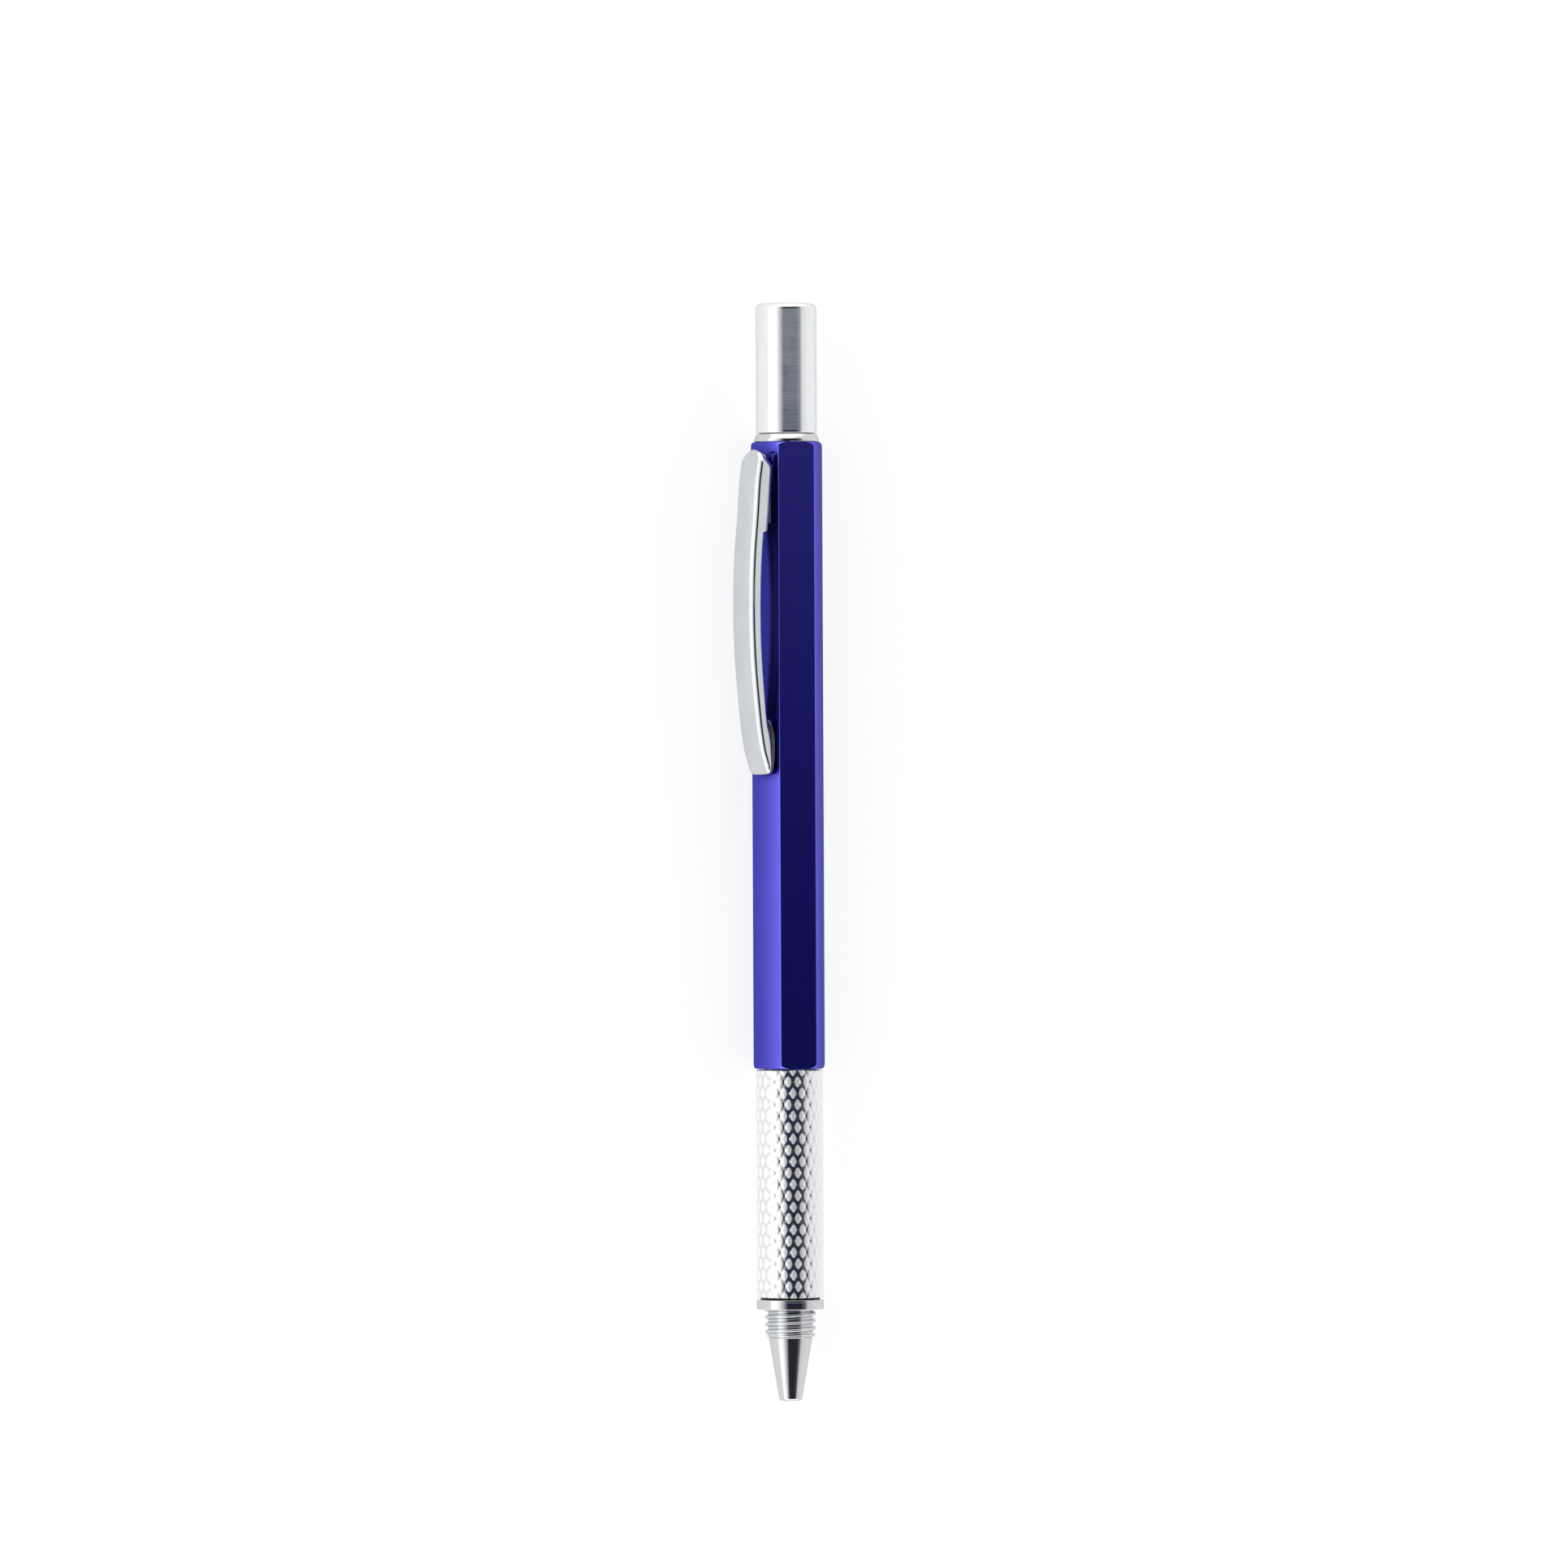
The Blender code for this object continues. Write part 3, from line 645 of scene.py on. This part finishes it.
def make_nose(look):
    """The smooth cone, the thread behind it and the bore that holds the spring."""
    end = span("nose_cone")[1]
    hole, bore = 1.2, 2.1
    edge, tip_radius = 0.42, 1.60
    cone_end, thread_start = 8.62, 8.9
    arc = [
        (tip_radius - edge + edge * math.cos(a), edge + edge * math.sin(a))
        for a in (math.radians(-85 + 75 * i / 8) for i in range(9))
    ]
    rings = [(hole, 0.14), (hole + 0.05, 0.03), *arc]
    rings += [(2.98, cone_end - 0.12), (2.95, cone_end)]
    rings += [(THREAD_MEAN - THREAD_HEIGHT, cone_end + 0.1)]
    rings += thread_rings(THREAD_MEAN, thread_start - 0.1, end - 0.2, thread_start - 0.1, end)
    rings += [(THREAD_MEAN - THREAD_HEIGHT, end), (bore, end), (bore, 6.2), (hole, 5.2)]
    points, faces = skin(rings, even_turns(96), closed=True)
    return keep_flats_flat(add_piece("nose_skin", points, faces, "nose", "chrome_plate", look,
                                     "nose_cone"))


# ------------------------------------------------------------------ refill, spring and bit

def make_refill_tip(brass, steel):
    start, end = span("refill_tip")
    ball_low, ball_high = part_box("tip_ball")
    ball_radius = (ball_high.x - ball_low.x) / 2 / MM
    outline = [
        (0.3, start + 1.1),
        (ball_radius + 0.03, start + 0.85),
        (ball_radius + 0.03, start, 0.01),
        (0.66, start, 0.03),
        (1.1, 4.4, 0.4),
        (1.1, 9.2, 0.1),
        (1.45, 9.5, 0.05),
        (1.45, 11.0, 0.05),
        (1.12, 11.0),
        (1.12, end, 0.08),
        (0.3, end, 0.05),
    ]
    turned("refill_point", outline, "refill", "brass", brass, "refill_tip")
    ball = bmesh.new()
    bmesh.ops.create_icosphere(ball, subdivisions=4, radius=ball_radius * MM)
    bmesh.ops.translate(ball, vec=(ball_low + ball_high) / 2, verts=ball.verts)
    points = [vert.co.copy() for vert in ball.verts]
    faces = [[vert.index for vert in face.verts] for face in ball.faces]
    ball.free()
    add_piece("writing_ball", points, faces, "ball", "tool_steel", steel, "tip_ball")


def make_spring(look):
    """The coil behind the nose. In the pen it shortens as the refill comes forward; here it is built at
    one length.
    """
    start, end = span("nose_spring")
    radius, wire, turns, per_turn, sides = 1.8, 0.2, 7, 40, 12
    count = turns * per_turn
    rise = end - start - 2 * wire
    points = []
    for i in range(count + 1):
        turn = -math.tau * turns * i / count
        station = start + wire + rise * i / count
        for k in range(sides):
            a = math.tau * k / sides
            points.append(turned_point(radius + wire * math.cos(a), turn,
                                       station + wire * math.sin(a)))
    rows = [range(i * sides, (i + 1) * sides) for i in range(count + 1)]
    faces = joined(rows) + [list(rows[0]), list(rows[-1])]
    coil = add_piece("coil_spring", points, faces, "spring", "spring_steel", look, "nose_spring")
    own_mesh(coil)


def make_bit(look):
    """A reversible bit: a hexagon with a cross point at one end and a flat blade at the other."""
    start, end = span("screwdriver_bit")
    flat, corner = 2.0, 0.12
    shank, taper, waist, shoulder = 1.5, 2.6, 6.5, 7.7

    def section(limit, slot=None, wing=None):
        def radius(turn):
            reach = soft_least(hexagon_radius(turn, flat, corner), limit)
            across, up = abs(math.cos(turn)), abs(math.sin(turn))
            if slot:
                reach = soft_least(reach, slot / max(up, 1e-3))
            if wing:
                reach = soft_least(reach, max(wing / max(up, 1e-3), wing / max(across, 1e-3)))
            return reach
        return radius

    blade, cross = [], []
    steps = 10
    for i in range(steps + 1):
        share = i / steps
        rise = taper * share
        blade.append((section(1.3 + 0.2 * share, slot=0.22 + 1.3 * share**2), rise))
        cross.append((section(0.45 + 1.05 * share, wing=0.16 + 1.3 * share**2), rise))
    common = [
        (section(shank), taper + 0.2),
        (section(shank), waist),
        (section(2.05), waist + 0.6),
        (section(2.4), shoulder),
    ]
    rings = [(0, start)] + [(radius, start + rise) for radius, rise in blade + common]
    rings += [(radius, end - rise) for radius, rise in reversed(cross + common)] + [(0, end)]
    points, faces = skin(rings, hexagon_turns(flat, corner, 24, 8), closed=False)
    add_piece("reversible_bit", points, faces, "bit", "tool_steel", look, "screwdriver_bit")


def make_bit_holder(look):
    """The steel socket that the bit stands in; the magnet sits in the pocket below it."""
    start, end = span("bit_holder")
    radius = radius_of("bit_holder")
    magnet_start, magnet_end = span("bit_magnet")
    pocket, flat, corner = radius_of("bit_magnet") + 0.05, 2.03, 0.08

    def socket(turn):
        return hexagon_radius(turn, flat, corner)

    rings = rounded([(0, start), (radius, start, 0.15), (radius, end, 0.2)])
    rings += [(2.42, end), (socket, end - 0.25), (socket, magnet_end + 0.15)]
    rings += [(pocket, magnet_end + 0.1), (pocket, magnet_start - 0.03), (0, magnet_start - 0.03)]
    points, faces = skin(rings, hexagon_turns(flat, corner, 12, 4), closed=False)
    add_piece("bit_socket", points, faces, "barrel", "tool_steel", look, "bit_holder")


# ------------------------------------------------------------------ clip

CLIP_ROUTE = (
    # station, height, half width, depth of the flanges, sheet thickness
    (93.1, 1.00, 1.55, 0.30, 0.30),
    (92.3, 0.48, 1.70, 0.30, 0.30),
    (91.0, 0.10, 1.80, 0.30, 0.30),
    (89.0, 0.08, 1.85, 0.30, 0.30),
    (87.2, 0.20, 1.85, 0.30, 0.30),
    (86.1, 0.42, 1.75, 0.32, 0.30),
    (85.55, 0.88, 1.50, 0.34, 0.32),
    (85.75, 1.32, 1.72, 0.45, 0.35),
    (86.4, 1.62, 1.96, 0.75, 0.38),
    (87.4, 2.03, 2.00, 1.20, 0.42),
    (89.0, 2.60, 2.00, 1.72, 0.45),
    (90.8, 3.02, 2.00, 1.72, 0.45),
    (92.3, 3.30, 2.00, 1.50, 0.45),
    (97.0, 3.96, 2.00, 1.60, 0.45),
    (102.0, 4.47, 2.00, 1.64, 0.45),
    (107.0, 4.68, 2.00, 1.68, 0.45),
    (112.0, 4.62, 2.00, 1.70, 0.45),
    (116.0, 4.37, 2.00, 1.72, 0.45),
    (118.4, 4.10, 2.00, 1.74, 0.45),
    (118.75, 4.06, 2.00, 1.74, 0.45),
    (119.1, 4.02, 2.00, 2.42, 0.45),
    (119.5, 3.97, 2.00, 2.44, 0.45),
    (121.5, 3.75, 2.00, 2.52, 0.45),
    (125.3, 3.39, 2.00, 2.62, 0.45),
    (127.5, 2.99, 2.00, 2.50, 0.45),
)
ROUTE_STEPS = 6
HEAD_MIDDLE, HEAD_END = 127.9, 129.9
HEAD_DEPTHS = ((0, 2.46), (9, 2.38), (20, 1.9), (30, 1.2), (42, 0.86), (60, 0.78), (90, 0.75))


def smooth_rows(rows, steps):
    """Rows of numbers read from a smooth curve through the given ones."""
    rows = [Vector(row) for row in rows]
    padded = [2 * rows[0] - rows[1], *rows, 2 * rows[-1] - rows[-2]]
    made = []
    for a, b, c, d in zip(padded, padded[1:], padded[2:], padded[3:]):
        for i in range(steps):
            t = i / steps
            made.append(0.5 * (2 * b + (c - a) * t + (2 * a - 5 * b + 4 * c - d) * t**2
                               + (3 * b - a - 3 * c + d) * t**3))
    return made + [rows[-1]]


def read_off(table, value):
    """A number between the rows of a small table."""
    for (low, first), (high, second) in zip(table, table[1:]):
        if value <= high:
            return first + (second - first) * (value - low) / (high - low)
    return table[-1][1]


def clip_point(station, height, across):
    """A point in metres beside the barrel face that carries the clip."""
    axis = Vector((0, TIP + station, AXIS_HEIGHT))
    return (axis + CLIP_OUT * (APOTHEM + height) + CLIP_ACROSS * across) * MM


def channel_section(half, depth, sheet, edge=0.42, steps=8, web_steps=8):
    """Half of the clip's section: its outer side out to the rim, and its inner side back.

    Each point is (distance from the middle, depth under the skin).
    """
    edge = min(edge, 0.5 * depth, 0.9 * half)
    sweep = max(edge, min(2.6 * edge, 0.55 * half))
    rim = min(0.14, 0.45 * sheet)
    inner_edge = max(0.02, min(edge - 0.1, 0.25))
    crown = 0.05
    half_pi = math.pi / 2
    outer = [((half - sweep) * i / web_steps, crown * (i / web_steps) ** 2)
             for i in range(web_steps)]
    outer += [(half - sweep + sweep * math.sin(half_pi * i / steps),
               crown + edge - edge * math.cos(half_pi * i / steps)) for i in range(steps + 1)]
    low = max(depth, edge + crown + 0.02, sheet)
    flange = [(half, low - rim), (half - 0.3 * rim, low - 0.3 * rim), (half - rim, low)]
    if low > sheet + 2 * rim:
        flange += [(half - sheet + rim, low), (half - sheet + 0.3 * rim, low - 0.3 * rim),
                   (half - sheet, low - rim)]
        top = sheet + crown
        inner = [(half - sheet - inner_edge + inner_edge * math.cos(half_pi * i / steps),
                  top + inner_edge - inner_edge * math.sin(half_pi * i / steps))
                 for i in range(steps + 1)]
    else:
        flange += [(half - sheet, low)] * 3
        inner = [(half - sheet - inner_edge * i / steps, low) for i in range(steps + 1)]
    last = inner[-1]
    across = [(last[0] * (1 - i / web_steps), last[1] - crown * i / web_steps)
              for i in range(1, web_steps + 1)]
    return outer + flange, inner + across


def clip_stations():
    """Every row of the clip: station, height, half width, depth and sheet thickness."""
    rows = smooth_rows(CLIP_ROUTE, ROUTE_STEPS)
    steps = 16
    for i in range(steps):
        angle = 90 * i / steps
        radians = math.radians(angle)
        station = HEAD_MIDDLE + (HEAD_END - HEAD_MIDDLE) * math.sin(radians)
        drop = 0.62 * math.sin(radians) ** 1.3
        rows.append(Vector((station, 2.92 - drop, 2.0 * math.cos(radians),
                            read_off(HEAD_DEPTHS, angle), 0.45)))
    return rows


def make_clip(look, inside):
    """One piece of sheet: a channel with a round head, and a tongue curled under its tail."""
    rows = clip_stations()
    points, loops = [], []
    for k, row in enumerate(rows):
        station, height, half, depth, sheet = row
        along = (rows[min(k + 1, len(rows) - 1)] - rows[max(k - 1, 0)]).xy.normalized()
        if station > HEAD_MIDDLE:
            along = Vector((0.97, -0.24)).normalized()
        down = Vector((along.y, -along.x))
        outer, inner = channel_section(half, depth, sheet)
        side = outer + inner
        loop = side + [(-x, z) for x, z in side[-2:0:-1]]
        loops.append(range(len(points), len(points) + len(loop)))
        for x, z in loop:
            points.append(clip_point(station + down.x * z, height + down.y * z, x))
    faces = joined(loops)
    faces += [list(loops[0]), list(loops[-1])]
    foot_points, foot_faces = clip_foot(len(points))
    clip = add_piece("spring_clip", points + foot_points, faces + foot_faces, None,
                     "chrome_sheet", look, "clip_head", "clip_arm")
    clip.data.materials.append(inside)
    count = len(loops[0])
    tongue_end = 8 * ROUTE_STEPS
    for face in clip.data.polygons[count * tongue_end:count * (len(loops) - 1)]:
        if len(outer) - 1 <= face.index % count < count - len(outer) + 1:
            face.material_index = 1
    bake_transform(clip)
    return clip


def clip_foot(first_index):
    """The tab inside the head that is folded down and lies on the barrel."""
    route = ((129.35, 1.95, 0.70), (129.2, 1.25, 0.80), (128.7, 0.62, 1.00), (127.9, 0.32, 1.30),
             (126.5, 0.27, 1.42), (123.0, 0.27, 1.42), (119.9, 0.27, 1.42))
    rows = smooth_rows(route, 5)
    points, loops = [], []
    half_sheet, rim = 0.22, 0.1
    for k, (station, height, half) in enumerate(rows):
        along = (rows[min(k + 1, len(rows) - 1)] - rows[max(k - 1, 0)]).xy.normalized()
        up = Vector((-along.y, along.x))
        corners = [
            (half, half_sheet - rim), (half - rim, half_sheet), (0, half_sheet),
            (rim - half, half_sheet), (-half, half_sheet - rim), (-half, rim - half_sheet),
            (rim - half, -half_sheet), (0, -half_sheet), (half - rim, -half_sheet),
            (half, rim - half_sheet),
        ]
        start = first_index + len(points)
        loops.append(range(start, start + len(corners)))
        for x, z in corners:
            points.append(clip_point(station + up.x * z, height + up.y * z, x))
    faces = joined(loops)
    return points, faces + [list(loops[0]), list(loops[-1])]


def make_rivet(node, look):
    """A rivet with a domed head on the clip's foot and a flattened tail inside the barrel."""
    low, high = span(node)
    middle = (low + high) / 2
    face, tail, shank = 0.52, -1.2, 0.55
    outline = [(0, face + 0.40)]
    outline += [(1.0 * math.sin(a), face + 0.05 + 0.35 * math.cos(a))
                for a in (math.radians(15 * i) for i in range(1, 7))]
    outline += [(0.98, face), (shank, face), (shank, -0.75), (0.85, -0.78), (0.85, -0.98),
                (0.6, tail + 0.02), (0, tail)]
    sides = 40
    points, rows = [], []
    for radius, height in outline:
        count = sides if radius else 1
        rows.append(range(len(points), len(points) + count))
        for k in range(count):
            a = math.tau * k / sides
            points.append(clip_point(middle + radius * math.cos(a), height,
                                     radius * math.sin(a)))
    faces = joined(rows)
    add_piece(node + "_domed", points, faces, "barrel", "spring_steel", look, node)


# ------------------------------------------------------------------ surroundings

VIEW_WIDTH = 214.35  # width of the pen's plane that the camera takes in
VIEW_OFFSET = Vector((-0.52, 9.3, -0.17))  # from the pen's middle to the middle of the view
CAMERA_DISTANCE = 1600.0
CAMERA_ELEVATION = math.radians(72.2)
CAMERA_ROLL = math.radians(-0.26)
FLOOR_GLOW = 0.80

SKY_STRENGTH = 2.5
SIDES = (
    # degrees from the zenith about the pen's axis, positive toward +X, and the brightness there
    (-180, 0.40), (-95, 0.42), (-86, 0.60), (-74, 0.66), (-62, 0.58), (-53, 0.44), (-28, 0.40),
    (30, 0.32), (50, 0.34), (75, 0.40), (95, 0.38), (180, 0.36),
)
OVERHEAD = ((-53, 0), (-28, 1), (20, 1), (26, 0.92), (34, 0.84), (46, 0))
OVERHEAD_SHADES = (
    # the part of a direction that points along the pen, and the colour of the opening there
    (-0.10, (0.012, 0.012, 0.015)),
    (-0.027, (0.008, 0.008, 0.010)),
    (-0.024, (0.002, 0.003, 0.040)),
    (0.026, (0.002, 0.003, 0.040)),
    (0.029, (0.105, 0.113, 0.125)),
    (0.050, (0.105, 0.113, 0.125)),
    (0.065, (0.008, 0.008, 0.012)),
    (0.40, (0.008, 0.008, 0.012)),
    (0.50, (0.10, 0.105, 0.11)),
)
ENDS = ((0.58, 0), (0.72, 1))
ENDS_SHADE = 0.72


def make_camera(aim):
    """A long lens from the left and above, square to the pen."""
    back = Vector((-math.cos(CAMERA_ELEVATION), 0, math.sin(CAMERA_ELEVATION)))
    up = Matrix.Rotation(CAMERA_ROLL, 3, back) @ Vector((0, 1, 0))
    right = up.cross(back)
    data = bpy.data.cameras.new("camera")
    data.sensor_width = 36.0
    data.lens = data.sensor_width * CAMERA_DISTANCE / VIEW_WIDTH
    camera = bpy.data.objects.new("camera", data)
    turn = Matrix((right, up, back)).transposed().to_4x4()
    camera.matrix_world = Matrix.Translation(aim + back * CAMERA_DISTANCE * MM) @ turn
    bpy.context.scene.collection.objects.link(camera)
    bpy.context.scene.camera = camera


def world_ramp(world, factor, table):
    """Reads a table of (value, brightness or colour) off a colour ramp."""
    low, high = table[0][0], table[-1][0]
    share = add_node(world, "ShaderNodeMapRange",
                     {"Value": factor, "From Min": low, "From Max": high}).outputs[0]
    ramp = add_node(world, "ShaderNodeValToRGB", {"Fac": share})
    elements = ramp.color_ramp.elements
    while len(elements) < len(table):
        elements.new(1.0)
    for element, (value, brightness) in zip(elements, table):
        element.position = (value - low) / (high - low)
        color = brightness if isinstance(brightness, tuple) else (brightness,) * 3
        element.color = (*color, 1)
    return ramp.outputs["Color"]


def make_sky():
    """White walls round the pen and a dark opening over it, where the camera looks in."""
    world = bpy.data.worlds.new("studio")
    world.use_nodes = True
    bpy.context.scene.world = world
    direction = add_node(world, "ShaderNodeTexCoord").outputs["Generated"]
    axes = add_node(world, "ShaderNodeSeparateXYZ", {0: direction}).outputs
    turn = math_node(world, "DEGREES", math_node(world, "ARCTAN2", axes["X"], axes["Z"]))
    dark = world_ramp(world, axes["Y"], OVERHEAD_SHADES)
    sides, overhead = world_ramp(world, turn, SIDES), world_ramp(world, turn, OVERHEAD)
    walls = blend_colors(world, overhead, sides, dark)
    toward_ends = world_ramp(world, math_node(world, "ABSOLUTE", axes["Y"]), ENDS)
    background = world.node_tree.nodes["Background"]
    background.inputs["Strength"].default_value = SKY_STRENGTH
    sky = blend_colors(world, toward_ends, walls, (ENDS_SHADE, ENDS_SHADE, ENDS_SHADE, 1))
    world.node_tree.links.new(sky, background.inputs["Color"])


def make_floor(look):
    size = 3.0
    low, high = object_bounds()
    bpy.ops.mesh.primitive_plane_add(size=size, location=((low + high) / 2).xy.to_3d())
    floor = bpy.context.object
    floor.name = "floor"
    floor.location.z = low.z
    floor.data.materials.append(look)
    floor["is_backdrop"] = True


def dress(look, *nodes):
    """Gives CAD nodes that stay in view a finer material."""
    for node in nodes:
        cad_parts[node].data.materials.clear()
        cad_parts[node].data.materials.append(look)


def main():
    bpy.context.scene.view_settings.view_transform = "Standard"
    brass, plastic, rubber = turned_brass(), moulded_plastic(), matt_rubber()
    chrome = chrome_plate()
    drawn_steel = bright_steel("drawn_steel", (0.62, 0.63, 0.65), 0.16, 0.30, 0.05, (1, 20, 1))
    tool_steel = bright_steel("tool_steel", (0.42, 0.43, 0.45), 0.28, 0.42, 0.08, (1, 1, 1))
    # Near-black steel used as painted shade in the gap behind the front ring's shoulder.
    gap_shade = bright_steel("painted_gap_shade", (0.04, 0.04, 0.045), 0.45, 0.6, 0.08, (1, 1, 1))
    nickel = bright_steel("nickel_plate", (0.68, 0.67, 0.65), 0.12, 0.22, 0.3, (1, 1, 1))

    make_barrel(anodised_blue())
    make_collar(chrome, rubber)
    make_cap(chrome_plate("cap_plate", (0.86, 0.875, 0.885), (0.03, 0.09)), plastic)
    make_grip_sleeve(knurled_plate())
    make_front_ring(chrome, gap_shade)
    make_nose(chrome)
    make_refill_tip(brass, tool_steel)
    make_spring(drawn_steel)
    make_bit(tool_steel)
    make_bit_holder(tool_steel)
    make_clip(chrome_sheet(), bare_sheet())
    for node in ("clip_rivet_front", "clip_rivet_rear"):
        make_rivet(node, drawn_steel)
    dress(brass, "grip_core", "drive_tube", "spring_seat")
    dress(plastic, "cam_sleeve", "refill_carrier")
    dress(rubber, "twist_ring")
    dress(drawn_steel, "retaining_ring", "cam_pin")
    dress(nickel, "bit_magnet")
    dress(ink_tube(), "refill_tube")

    make_floor(pale_floor())
    middle = Vector((0, (CAD_BOX[0].y + CAD_BOX[1].y) / 2, AXIS_HEIGHT * MM))
    make_camera(middle + VIEW_OFFSET * MM)
    make_sky()


main()
